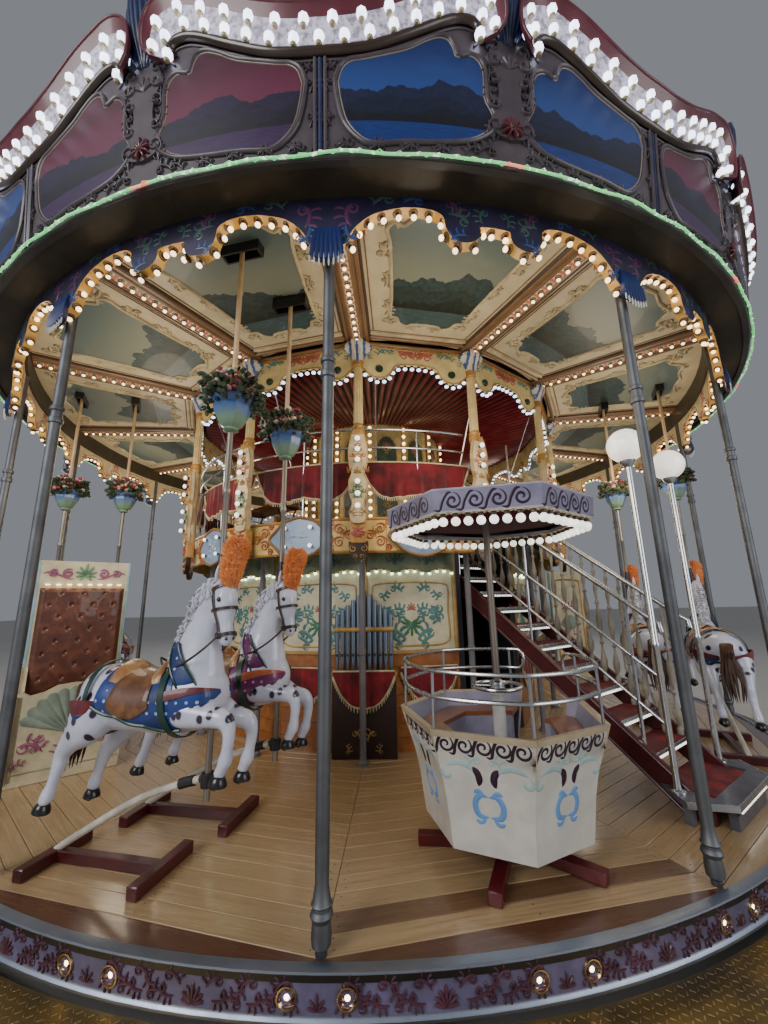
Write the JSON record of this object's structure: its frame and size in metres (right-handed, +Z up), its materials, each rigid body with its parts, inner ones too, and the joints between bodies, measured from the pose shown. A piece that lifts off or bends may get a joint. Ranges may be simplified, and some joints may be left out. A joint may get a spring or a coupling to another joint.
{
  "type": "double-deck fairground carousel",
  "caption": "Fairground carousel with a turning deck of rising horses, spinning tubs and carriages, a balcony deck reached by a straight stair, and a cone roof in carved boards.",
  "frame": {"origin": "on the ground, under the centre pin of the turntable", "axes": "+Z up along the turning axis; -Y towards the first outer pole, which faces the viewer; +X to the viewer's right, the way the rides at the front travel"},
  "size_m": [11.2086, 11.24, 7.35],
  "materials": {
    "base_steel": "satin dark paint over welded beams",
    "step_plate": "golden raised-pattern plate, worn bright",
    "deck_wood": "varnished honey planks",
    "rim_paint": "gloss mauve with gold scrolls",
    "pole_steel": "brushed, warm grey",
    "soffit_paint": "dark brown",
    "valance_paint": "indigo with gold edge",
    "boards_paint": "painted and carved boards",
    "roof_canvas": "weathered canvas over a frame",
    "ceiling_paint": "cream panels",
    "column_paint": "pale yellow and cream paint",
    "upper_wood": "varnished boards",
    "fascia_paint": "gold and orange carving",
    "rail_chrome": "polished",
    "drape_velvet": "deep red velvet",
    "canopy_cloth": "burgundy pleated cloth",
    "drum_paint": "cream and gold panels",
    "post_steel": "warm grey",
    "stage_paint": "cream panels with painted scrolls",
    "organ_metal": "dull blue grey",
    "stair_paint": "oxide red",
    "baluster_paint": "cream turned wood",
    "lamp_opal": "opal, lit",
    "carriage_leather": "tan brown, buttoned",
    "tub_red": "oxide red",
    "tub_lilac": "lavender grey with dark scrolls",
    "tub_white": "white with pale blue relief",
    "horse_white": "glossy painted shell"
  },
  "bodies": {
    "base": {"base_frame": "base_steel", "step_ring": "step_plate"},
    "turntable": {"lower_deck": "deck_wood", "deck_rim": "rim_paint", "outer_pole_1": "pole_steel", "outer_pole_2": "pole_steel", "outer_pole_3": "pole_steel", "outer_pole_4": "pole_steel", "outer_pole_5": "pole_steel", "outer_pole_6": "pole_steel", "outer_pole_7": "pole_steel", "outer_pole_8": "pole_steel", "outer_pole_9": "pole_steel", "outer_pole_10": "pole_steel", "outer_pole_11": "pole_steel", "outer_pole_12": "pole_steel", "outer_pole_13": "pole_steel", "outer_pole_14": "pole_steel", "soffit_ring": "soffit_paint", "valance": "valance_paint", "rounding_boards": "boards_paint", "roof": "roof_canvas", "roof_spire": "fascia_paint", "ride_ceiling": "ceiling_paint", "inner_colonnade": "column_paint", "upper_deck": "upper_wood", "upper_fascia": "fascia_paint", "balcony_rails": "rail_chrome", "balcony_drapes": "drape_velvet", "upper_canopy": "canopy_cloth", "upper_drum": "drum_paint", "lower_posts": "post_steel", "stage_walls": "stage_paint", "organ_pipes": "organ_metal", "stair_treads": "stair_paint", "stair_bottom_tread": "stair_paint", "stair_stringer_left": "stair_paint", "stair_stringer_right": "stair_paint", "stair_handrail": "rail_chrome", "stair_balustrade": "baluster_paint", "globe_lamp_left": "lamp_opal", "globe_lamp_right": "lamp_opal", "carriage_1": "carriage_leather", "carriage_2": "carriage_leather", "carriage_3": "carriage_leather", "tub_1_stand": "tub_red", "tub_1_canopy": "tub_lilac", "tub_2_stand": "tub_red", "tub_2_canopy": "tub_lilac"},
    "tub_1_basket": {"tub_1_basket": "tub_white"},
    "tub_2_basket": {"tub_2_basket": "tub_white"},
    "horse_1": {"horse_1": "horse_white"},
    "horse_2": {"horse_2": "horse_white"},
    "horse_3": {"horse_3": "horse_white"},
    "horse_4": {"horse_4": "horse_white"},
    "horse_5": {"horse_5": "horse_white"},
    "horse_6": {"horse_6": "horse_white"},
    "horse_7": {"horse_7": "horse_white"},
    "horse_8": {"horse_8": "horse_white"}
  },
  "joints": [
    {"name": "turntable_spin", "type": "hinge", "parent": "base", "child": "turntable", "pos_m": [0, 0, 0.3], "axis": [0, 0, 1], "continuous": true},
    {"name": "tub_1_spin", "type": "hinge", "parent": "turntable", "child": "tub_1_basket", "pos_m": [1.0933, -4.138, 0.55], "axis": [0, 0, 1], "continuous": true},
    {"name": "tub_2_spin", "type": "hinge", "parent": "turntable", "child": "tub_2_basket", "pos_m": [-1.0933, 4.138, 0.55], "axis": [0, 0, 1], "continuous": true},
    {"name": "horse_1_lift", "type": "slide", "parent": "turntable", "child": "horse_1", "axis": [0, 0, 1], "range_m": [-0.12, 0.12]},
    {"name": "horse_2_lift", "type": "slide", "parent": "turntable", "child": "horse_2", "axis": [0, 0, 1], "range_m": [-0.12, 0.12]},
    {"name": "horse_3_lift", "type": "slide", "parent": "turntable", "child": "horse_3", "axis": [0, 0, 1], "range_m": [-0.12, 0.12]},
    {"name": "horse_4_lift", "type": "slide", "parent": "turntable", "child": "horse_4", "axis": [0, 0, 1], "range_m": [-0.12, 0.12]},
    {"name": "horse_5_lift", "type": "slide", "parent": "turntable", "child": "horse_5", "axis": [0, 0, 1], "range_m": [-0.12, 0.12]},
    {"name": "horse_6_lift", "type": "slide", "parent": "turntable", "child": "horse_6", "axis": [0, 0, 1], "range_m": [-0.12, 0.12]},
    {"name": "horse_7_lift", "type": "slide", "parent": "turntable", "child": "horse_7", "axis": [0, 0, 1], "range_m": [-0.12, 0.12]},
    {"name": "horse_8_lift", "type": "slide", "parent": "turntable", "child": "horse_8", "axis": [0, 0, 1], "range_m": [-0.12, 0.12]}
  ]
}
